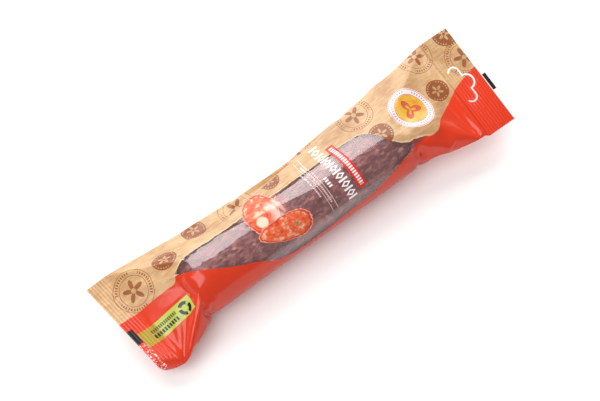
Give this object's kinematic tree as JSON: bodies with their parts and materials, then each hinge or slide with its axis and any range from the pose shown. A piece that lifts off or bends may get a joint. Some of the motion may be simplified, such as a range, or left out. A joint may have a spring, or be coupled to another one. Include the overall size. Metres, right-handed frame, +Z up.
{
  "type": "packaged cured sausage",
  "caption": "Cured sausage with its casing clipped shut at both ends, sealed in a printed flow-wrap packet with a clear window and a hanging slit.",
  "frame": {"origin": "middle of the packet's underside, on the surface that it lies on", "axes": "+X along the packet to the end with the hanging slit, +Y to the paper-coloured side, +Z up from the back seal"},
  "size_m": [0.341, 0.09, 0.0504],
  "materials": {
    "casing": "satin",
    "clip": "satin",
    "printed_film": "gloss"
  },
  "bodies": {
    "root": {"sausage": "casing", "clip_left": "clip", "clip_right": "clip", "film_wrapper": "printed_film"}
  },
  "joints": []
}
